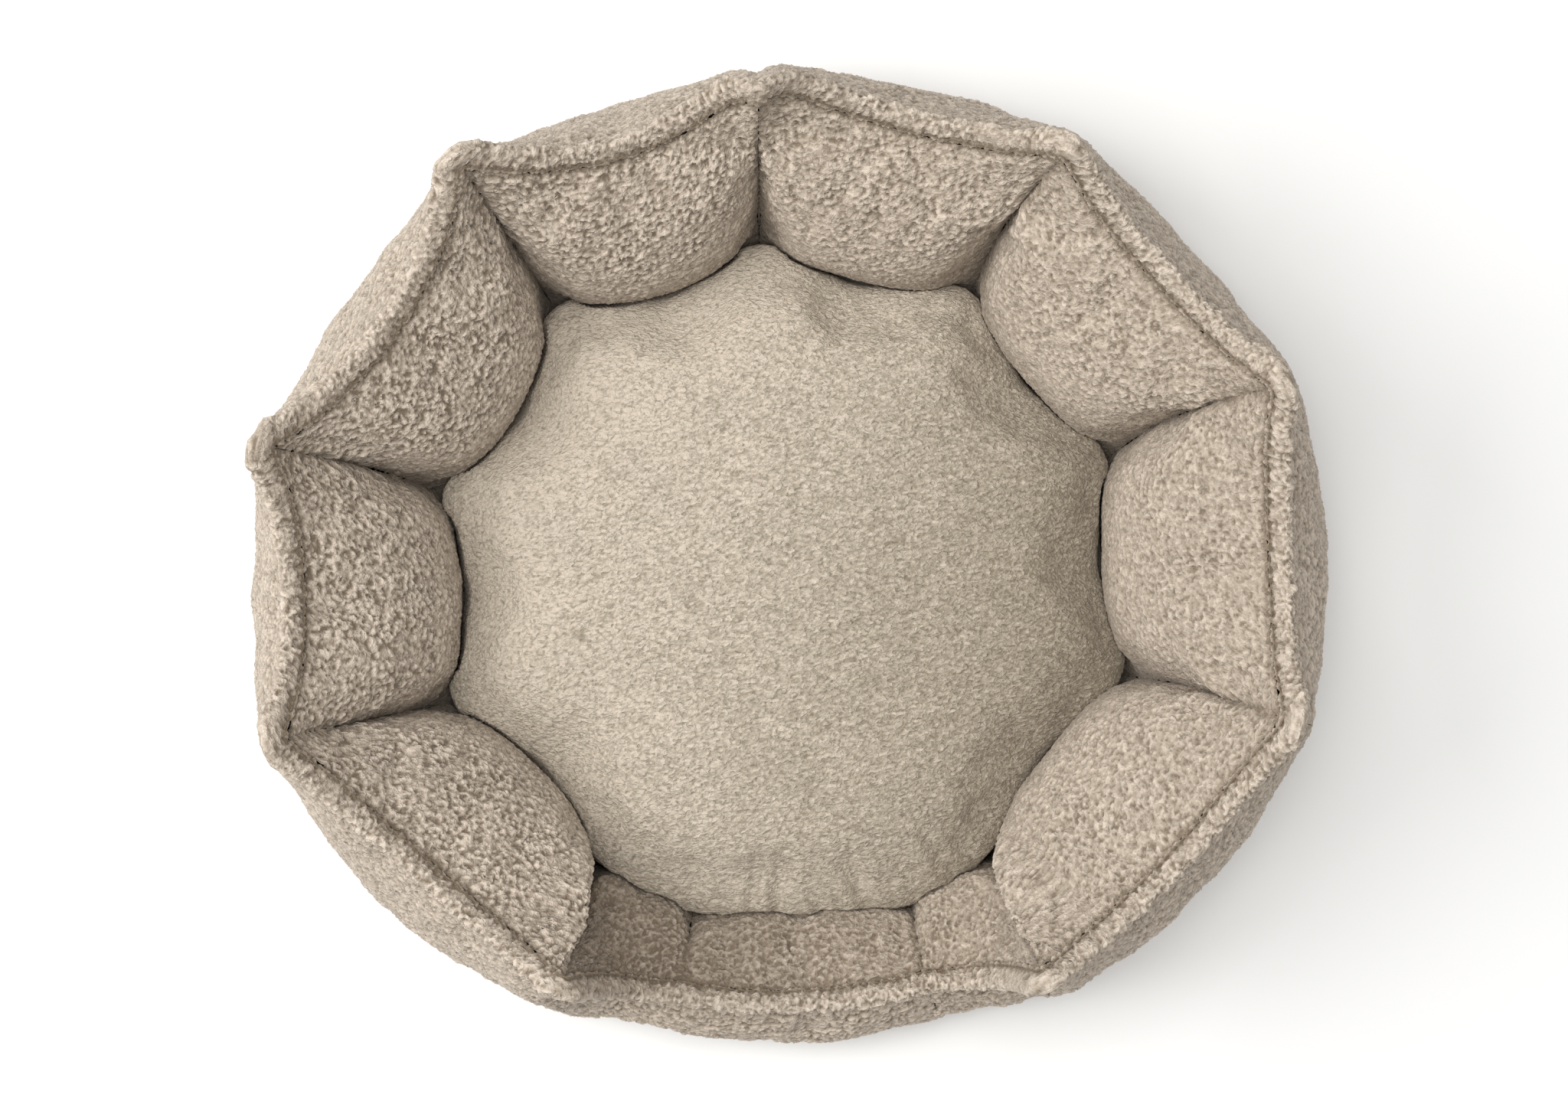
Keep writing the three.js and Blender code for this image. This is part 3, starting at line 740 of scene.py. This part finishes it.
def rim_line():
    """Points along the stitching: where each is, the way up the band and the way its inner face
    looks, how near a corner it is from 0 to 1, and its distance along the rim."""
    line, out, corner = [], [], []
    for pocket in POCKET_LIST:
        count = pocket.cells * 3
        s = np.arange(count) / count
        line.append(pocket.rim(s))
        out.append(pocket.outwards(s))
        near = np.zeros(count)
        for seam, away in ((pocket.start, s * pocket.width), (pocket.end, (1 - s) * pocket.width)):
            near += bool(seam.flare or seam.blunt) * np.exp(-((away / (13 * MM)) ** 2))
        corner.append(near)
    line, out, corner = np.concatenate(line), np.concatenate(out), np.concatenate(corner)
    run = unit(np.roll(line, -1, 0) - np.roll(line, 1, 0))
    out = unit(out - run * np.sum(out * run, 1)[:, None])
    rise = np.cross(run, out)
    rise *= np.sign(rise[:, 2:3])
    up = out * math.cos(BAND_LEAN) + rise * math.sin(BAND_LEAN)
    face = rise * math.cos(BAND_LEAN) - out * math.sin(BAND_LEAN)
    distance = np.cumsum(np.linalg.norm(np.roll(line, -1, 0) - line, axis=1))
    return line, up, face, corner, distance


def rim_section(angle):
    """A flat band with round edges: along it from the stitching to its tip, and across it."""
    c, w = math.cos(angle), math.sin(angle)
    return 0.46 + 0.54 * math.copysign(abs(c) ** 0.7, c), math.copysign(abs(w) ** 0.8, w)


def rim_binding():
    """The band, a little wider and narrower along its way, and thicker at the corners."""
    line, up, face, corner, distance = rim_line()
    wave = noise(np.stack([distance / (24 * MM), 0 * distance, 0 * distance], 1))
    reach = BAND * (1 + 0.08 * corner + 0.07 * wave)
    rings, ups = [], []
    for angle in np.linspace(0, 2 * np.pi, 16, endpoint=False):
        a, b = rim_section(angle)
        tuck = 1 - 0.45 * math.exp(-(((a - 0.2) / 0.12) ** 2))
        thick = BAND_HALF * b * tuck * (1 + 0.3 * corner)
        rings.append(line + up * (reach * a)[:, None] + face * thick[:, None])
        ups.append(np.full(len(line), a))
    points = np.stack(rings)
    count = points.shape[1]
    faces = grid_faces(len(rings) + 1, count, closed=True) % (len(rings) * count)
    obj = mesh_object("rim_binding_plush", points.reshape(-1, 3), faces[:, ::-1])
    pull = np.cos(2 * np.pi * distance / STITCH)
    kept(obj.data, up=np.stack(ups), pull=np.tile(pull, (len(rings), 1)))
    return obj


def topstitches():
    """A thread stitch every few millimetres along the foot of the band, on its inner face."""
    line, up, face, _, distance = rim_line()
    path = line + up * 1.7 * MM + face * (BAND_HALF * 0.8)
    points, faces = [], []
    steps = sides = 6
    turns = np.linspace(0, 2 * np.pi, sides, endpoint=False)[None, :, None]
    radius = 0.5 * MM * np.array([0.45, 0.9, 1, 1, 0.9, 0.45])[:, None, None]
    bend = np.sin(np.linspace(0, np.pi, steps))[:, None] * 0.7 * MM
    for k in range(int(distance[-1] / STITCH)):
        at = (k + np.linspace(0.16, 0.84, steps)) * STITCH
        middle, away, across = (
            np.stack([np.interp(at, distance, values[:, axis]) for axis in range(3)], 1)
            for values in (path, face, up))
        away, across = unit(away), unit(across)
        ring = (middle + away * bend)[:, None] + radius * (
            away[:, None] * np.cos(turns) + across[:, None] * np.sin(turns))
        base = k * steps * sides
        points.append(ring.reshape(-1, 3))
        faces += (grid_faces(steps, sides, closed=True) + base).tolist()
        end = base + (steps - 1) * sides
        faces += [list(range(base, base + sides)), list(range(end + sides - 1, end - 1, -1))]
    return mesh_object("rim_topstitching", np.concatenate(points), faces)


rim = subdivided(rim_binding(), 1)
rim_up, rim_pull = taken(rim.data, "up", "pull")
rim_pile = curls(points_of(rim.data), TEDDY_PITCH, seed=40.0)
groove = np.exp(-(((rim_up - 0.1) / 0.12) ** 2))
knots = noise(points_of(rim.data) / (7 * MM) + 9.0)
# painted shade: the band is darkened in the groove along its stitching
raise_pile(rim, rim_pile, BINDING_DEPTH, 1 - 0.8 * groove, MM * (0.5 * rim_pull * groove + knots))
dressed(rim, BINDING, "bed", "binding", "rim_binding")
dressed(topstitches(), THREAD, "bed", "binding")


# ---------------------------------------------------------------- the cushion


def wall_reach(angle, height, rounded=False):
    """How far from the nest's middle the inner wall is, at these angles and heights.

    rounded leaves out the narrow corners at the seams, where a cushion can't go."""
    ring = inner_grid - NEST
    count = 720
    angles = np.arange(count) * 2 * np.pi / count
    broad = np.arange(count // 2 + 1) < ROUND_WAVES
    table = []
    for row in ring[:17]:
        at = np.arctan2(row[:, 1], row[:, 0])
        order = np.argsort(at)
        reach, level = (np.interp(angles, at[order], value[order], period=2 * np.pi)
                        for value in (np.hypot(row[:, 0], row[:, 1]), row[:, 2]))
        if rounded:
            reach = np.minimum(reach, np.fft.irfft(np.fft.rfft(reach) * broad, count) + 1.0 * MM)
        table.append([reach, level])
    table = np.array(table)
    column = np.round(angle / (2 * np.pi) * count).astype(int) % count
    reaches, heights = table[:, 0][:, column], table[:, 1][:, column]
    found = reaches[0].copy()
    for k in range(len(table) - 1):
        share = (height - heights[k]) / np.maximum(heights[k + 1] - heights[k], 1e-6)
        between = reaches[k] + (reaches[k + 1] - reaches[k]) * np.clip(share, 0, 1)
        found = np.where(height >= heights[k], between, found)
    return found


def cushion_outline(count):
    """How far the cushion would reach each way at its seam, before the wall holds it in."""
    angles = np.arange(count) * 2 * np.pi / count
    reach = wall_reach(angles, np.full(count, CUSHION_SEAM + 6 * MM))
    broad = np.arange(count // 2 + 1) < ROUND_WAVES
    return angles, np.fft.irfft(np.fft.rfft(reach) * broad, count) + BULGE


def held_in(points, clear):
    """Moves what is outside the wall back in, clear of it, most of all at the left."""
    flat = (points - NEST)[:, :2]
    reach = np.hypot(flat[:, 0], flat[:, 1])
    angle = np.arctan2(flat[:, 1], flat[:, 0])
    leftward = 1 + np.cos(angle - math.radians(160))
    loose = 1.9 * MM * leftward * smooth(points[:, 2] / (40 * MM) - 1)
    most = wall_reach(angle, points[:, 2], rounded=True) - clear - loose
    out = points.copy()
    out[:, :2] = NEST[:2] + flat * np.minimum(1, most / np.maximum(reach, 1e-9))[:, None]
    return out


def cushion_solid(name, inset):
    """A domed round cushion, inset from its cover all over."""
    count = 220
    angles, reach = cushion_outline(count)
    way = np.stack([np.cos(angles), np.sin(angles)], 1)
    top, low = CUSHION_TOP - inset, CUSHION_LOW + inset
    flat = 3.3 + 1.7 * np.cos(angles - math.radians(150))  # fuller at the back left
    rows = [(k, CUSHION_SEAM + (top - CUSHION_SEAM) * 0.97 * (1 - k**flat) ** 0.45)
            for k in np.linspace(0.03, 1, 35)[:-1]]
    for k in np.linspace(1.0, 0.03, 35):
        round_edge = math.sqrt(1 - max(0, (k - 0.86) / 0.14) ** 2)
        rows.append((k, np.full(count, CUSHION_SEAM - (CUSHION_SEAM - low) * round_edge)))
    rings = [np.column_stack([NEST[:2] + way * ((reach - inset) * k)[:, None], z]) for k, z in rows]
    return stacked_rings(name, rings, [*NEST[:2], np.mean(rows[0][1])], [*NEST[:2], low])


def settle_cushion(obj):
    """Blows the cushion up against the wall."""
    wall = mesh_object("wall_for_contact", inner_grid.reshape(-1, 3),
                       grid_faces(inner_grid.shape[0], inner_grid.shape[1], closed=True))
    wall.modifiers.new("collision", "COLLISION")
    wall.collision.thickness_outer = 1 * MM
    start = points_of(obj.data)
    pinned = np.where(start[:, 2] < CUSHION_LOW + 6 * MM, 1.0, 0.0)
    faces = [tuple(p.vertices) for p in obj.data.polygons]
    reach = np.hypot(start[:, 0] - NEST[0], start[:, 1] - NEST[1])
    cap = 1.5 * MM + 7 * MM * smooth((200 * MM - reach) / (60 * MM))
    set_points(obj.data, inflated("cushion_sim", start, faces, pinned, 4.0, 0.03, cap,
                                  collides=True, stiffness=5.0))
    bpy.data.objects.remove(wall)


def edge_puckers(obj):
    """Small folds at the cushion's edge, most of them at its front."""
    points, normals = points_of(obj.data), normals_of(obj.data)
    flat = points - NEST
    angle = np.arctan2(flat[:, 1], flat[:, 0])
    reach = np.hypot(flat[:, 0], flat[:, 1])
    edge = smooth((reach - 142 * MM) / (40 * MM))
    front = np.exp(-(((np.degrees(angle) + 86) / 22) ** 2))
    right = np.exp(-(((np.degrees(angle) + 14) / 14) ** 2))
    spot = np.stack([angle * 15, reach / (60 * MM), 0 * reach], 1)
    fold = np.clip(noise(spot) * 1.6, -1, 0.4)
    amount = edge * (0.2 + 0.8 * front + 0.4 * right)
    set_points(obj.data, points + normals * (4.0 * MM * amount * fold)[:, None])


def with_slot(points):
    """Leaves room in the cushion's underside for its zip."""
    corners = np.array([corner for name in ("zip_tape_front", "zip_tape_back", "zip_slider")
                        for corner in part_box(name)])
    low, high = corners.min(0), corners.max(0)
    past = np.abs(points - (low + high) / 2) - (high - low) / 2
    inside = smooth(1 - np.maximum(past[:, 0], past[:, 1]) / (3 * MM))
    roof = CUSHION_LOW + (high[2] + 1.2 * MM - CUSHION_LOW) * inside
    out = points.copy()
    underside = points[:, 2] < CUSHION_LOW + 9 * MM
    out[:, 2] = np.where(underside, np.maximum(points[:, 2], roof), points[:, 2])
    return out


cushion = cushion_solid("cushion_plush", 0)
remesh = cushion.modifiers.new("remesh", "REMESH")
remesh.mode = "VOXEL"
remesh.voxel_size = VOXEL
remesh.use_smooth_shade = True
baked(cushion)
settle_cushion(cushion)
subdivided(cushion, 2)
edge_puckers(cushion)
set_points(cushion.data, with_slot(held_in(points_of(cushion.data), 1.2 * MM)))
lying = points_of(cushion.data) - NEST
sideways, along = lying[:, 0] / (150 * MM), lying[:, 1] / (150 * MM)
painted_lighting = 1.01 - 0.4 * sideways + 0.18 * along + 0.17 * along**2  # painted light: lighter to the left and towards the back
# painted shade: the cushion is darkened by its edge, where it meets the wall
painted_edge_shade = smooth((np.hypot(lying[:, 0], lying[:, 1]) - 178 * MM) / (16 * MM))
above = smooth((lying[:, 2] - CUSHION_LOW) / (14 * MM))
raise_pile(cushion, brushed(lying, 3.8 * MM, 2.0 * MM), MM * (0.2 + 0.7 * above),
           painted_lighting * (1 - 0.33 * painted_edge_shade))
dressed(cushion, PLUSH, "cushion", "plush", "cushion_top_cover", "cushion_underside_front",
        "cushion_underside_back")
wadding = cushion_solid("cushion_wadding", WADDING_INSET)
set_points(wadding.data, held_in(points_of(wadding.data), WADDING_INSET + 2 * MM))
dressed(wadding, WADDING, "cushion", "wadding", "cushion_fill")

# ---------------------------------------------------------------- the zip


def coil(name, node):
    """A zip's coil: one long spring along the edge of its tape."""
    low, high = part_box(node)
    turns = int((high.x - low.x) / (1.5 * MM))
    phase = np.linspace(0, 2 * np.pi * turns, turns * 8)
    wire = 0.36 * MM
    radius = ((high.y - low.y) / 2 - wire, (high.z - low.z) / 2 - wire)
    path = np.stack([low.x + (high.x - low.x) * phase / phase[-1],
                     (low.y + high.y) / 2 + radius[0] * np.cos(phase),
                     (low.z + high.z) / 2 + radius[1] * np.sin(phase)], 1)
    outward = np.stack([0 * phase, np.cos(phase), np.sin(phase)], 1)
    lengthways = np.array([1.0, 0, 0])
    rings = [path + wire * (outward * math.cos(a) + lengthways * math.sin(a))
             for a in np.linspace(0, 2 * np.pi, 6, endpoint=False)]
    points = np.stack(rings, 1).reshape(-1, 3)
    faces = grid_faces(len(path), 6, closed=True).tolist()
    last = (len(path) - 1) * 6
    faces += [[5, 4, 3, 2, 1, 0], [last + k for k in range(6)]]
    return dressed(mesh_object(name, points, faces), ZIP_COIL, "cushion", "zip_coil", node)


def tape(name, node):
    """A zip's tape: a woven strip with fine ribs along it."""
    low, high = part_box(node)
    long, wide = 140, 14
    x, y = np.meshgrid(np.linspace(low.x, high.x, long), np.linspace(low.y, high.y, wide),
                       indexing="ij")
    rib = 0.12 * MM * np.sin((y - low.y) / (high.y - low.y) * np.pi * 13) - 0.15 * MM
    sheets = [np.stack([x, y, level + sign * rib], -1).reshape(-1, 3)
              for level, sign in ((high.z, 1), (low.z, -1))]
    count = long * wide
    top = grid_faces(long, wide)
    faces = top.tolist() + (top[:, ::-1] + count).tolist()
    number = np.arange(count).reshape(long, wide)
    edge = [*number[:, 0], *number[-1, 1:], *number[-2::-1, -1], *number[0, -2:0:-1]]
    following = edge[1:] + edge[:1]
    faces += [[a, b, b + count, a + count] for a, b in zip(edge, following)]
    return dressed(mesh_object(name, np.concatenate(sheets), faces), ZIP_TAPE, "cushion",
                   "zip_fabric", node)


for word in ("front", "back"):
    coil(f"zip_spring_{word}", f"zip_coil_{word}")
    tape(f"zip_woven_{word}", f"zip_tape_{word}")

# ---------------------------------------------------------------- the floor of the nest


def slab(name, reach_of, low, high, ripple=0.0):
    """A closed flat piece whose outline is reach_of(angles), with a soft edge and a top that
    dips by up to ripple."""
    count = 160
    angles = np.arange(count) * 2 * np.pi / count
    reach = reach_of(angles)
    way = np.stack([np.cos(angles), np.sin(angles)], 1)
    middle, half = (high + low) / 2, (high - low) / 2
    rows = [(k, 0.0, high) for k in np.linspace(0.04, 0.97, 26)]
    rows += [(1.0, (math.cos(a) - 1) * half / 2, middle + math.sin(a) * half)
             for a in np.linspace(np.pi / 2, -np.pi / 2, 7)]
    rows += [(k, 0.0, low) for k in np.linspace(0.97, 0.04, 26)]
    rings = [np.column_stack([NEST[:2] + way * (reach * k + pull)[:, None], np.full(count, z)])
             for k, pull, z in rows]
    for ring in rings:
        ring[:, 2] -= ripple * np.abs(noise(ring / (26 * MM))) * (ring[:, 2] > middle)
    first = np.array([[*NEST[:2], high]])
    first[:, 2] -= ripple * np.abs(noise(first / (26 * MM)))
    return stacked_rings(name, rings, first[0], [*NEST[:2], low])


def foot_reach(angles):
    """The nest's middle to the edge of its floor."""
    return wall_reach(angles, np.full(len(angles), NEST_FLOOR)) - 2.5 * MM


def sheet_reach(angles):
    """The nest's middle to the edge of the sheet under the bed, a little inside the wall's foot."""
    half = np.array([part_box("ground_sheet")[1].x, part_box("ground_sheet")[1].y])
    d = np.stack([np.cos(angles), np.sin(angles)], 1)
    a = np.sum((d / half) ** 2, 1)
    b = 2 * d[:, 1] * NEST[1] / half[1] ** 2
    c = (NEST[1] / half[1]) ** 2 - 1
    return (-b + np.sqrt(b * b - 4 * a * c)) / (2 * a)


def grip_dots():
    """Rubber dots all over the underside."""
    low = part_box("ground_sheet")[0]
    turns = np.linspace(0, 2 * np.pi, 8, endpoint=False)
    profile = ((2.4 * MM, 1.3 * DOT), (2.2 * MM, 0.35 * DOT), (1.3 * MM, 0.05 * DOT))
    dot = np.array([[r * math.cos(a), r * math.sin(a), z] for r, z in profile for a in turns]
                   + [[0, 0, 0]])
    shape = grid_faces(3, 8, closed=True)[:, ::-1].tolist()
    shape += [[24, 16 + (j + 1) % 8, 16 + j] for j in range(8)] + [list(range(7, -1, -1))]
    points, faces = [], []
    for row in range(-24, 25):
        for k in range(-24, 25):
            x, y = (k + 0.5 * (row % 2)) * DOT_PITCH, row * DOT_PITCH * 0.87
            if (x / low.x) ** 2 + (y / low.y) ** 2 < 0.93:
                base = len(points) * len(dot)
                points.append(dot + [x, y, low.z])
                faces += [[corner + base for corner in face] for face in shape]
    return mesh_object("grip_dots", np.concatenate(points), faces)


for name, node, look, slot, ripple in (
        ("nest_floor_cloth", "floor_fabric", LINING, "lining", 0.6 * MM),
        ("nest_floor_wadding", "floor_pad", WADDING, "wadding", 2.0 * MM)):
    low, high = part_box(node)
    piece = slab(name, foot_reach, low.z, high.z, ripple)
    dressed(subdivided(piece, 1), look, "bed", slot, node)

low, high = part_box("ground_sheet")
under = slab("ground_cloth", sheet_reach, low.z + DOT, high.z)
dressed(under, NON_SLIP, "bed", "ground", "ground_sheet")
dressed(grip_dots(), NON_SLIP, "bed", "ground")

# ---------------------------------------------------------------- what stays from the CAD

for node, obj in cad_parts.items():
    obj.data.materials.clear()
    obj.data.materials.append(METAL if node.startswith("zip_s") else LINING)

# ---------------------------------------------------------------- floor, light and camera


def floor():
    """A wide pale floor under the bed."""
    made = bpy.data.materials.new("pale floor")
    made.use_nodes = True
    nodes, links = made.node_tree.nodes, made.node_tree.links
    shader = nodes["Principled BSDF"]
    shader.inputs["Roughness"].default_value = 0.9
    shader.inputs["Specular IOR Level"].default_value = 0.1
    speck = nodes.new("ShaderNodeTexNoise")
    speck.inputs["Scale"].default_value = 3.0
    ramp = nodes.new("ShaderNodeValToRGB")
    ramp.color_ramp.elements[0].color = (0.93, 0.93, 0.92, 1)
    ramp.color_ramp.elements[1].color = (0.96, 0.96, 0.955, 1)
    links.new(speck.outputs["Fac"], ramp.inputs["Fac"])
    links.new(ramp.outputs["Color"], shader.inputs["Base Color"])
    corners = [[-4, -4, 0], [4, -4, 0], [4, 4, 0], [-4, 4, 0]]  # in metres
    plane = mesh_object("floor", corners, [[0, 1, 2, 3]], smooth_faces=False)
    plane.location.z = CAD_BOX[0].z - 0.0005
    plane.data.materials.append(made)


def area_light(name, place, size, power):
    """A round soft light that looks at the bed."""
    light = bpy.data.lights.new(name, "AREA")
    light.shape = "DISK"
    light.size = size
    light.energy = power
    obj = bpy.data.objects.new(name, light)
    obj.location = place
    obj.rotation_euler = (Vector((0, 0, 0.05)) - Vector(place)).to_track_quat("-Z", "Y").to_euler()
    bpy.context.scene.collection.objects.link(obj)


floor()
area_light("key", (-1.9, 0.3, 2.0), size=1.8, power=42)
area_light("top", (-0.3, 0.2, 3.2), size=2.0, power=52)
world = bpy.data.worlds.new("studio")
world.use_nodes = True
background = world.node_tree.nodes["Background"]
background.inputs["Color"].default_value = (1, 0.995, 0.985, 1)
background.inputs["Strength"].default_value = 0.46
bpy.context.scene.world = world
bpy.context.scene.view_settings.view_transform = "Standard"

CAMERA_HEIGHT = 1.9
camera = bpy.data.objects.new("camera", bpy.data.cameras.new("camera"))
camera.data.sensor_width = 36
camera.data.lens = 75.5
camera.location = (0, 0, CAMERA_HEIGHT)
camera.rotation_euler = (0, 0, math.radians(-2.5))
bpy.context.scene.collection.objects.link(camera)
bpy.context.scene.camera = camera
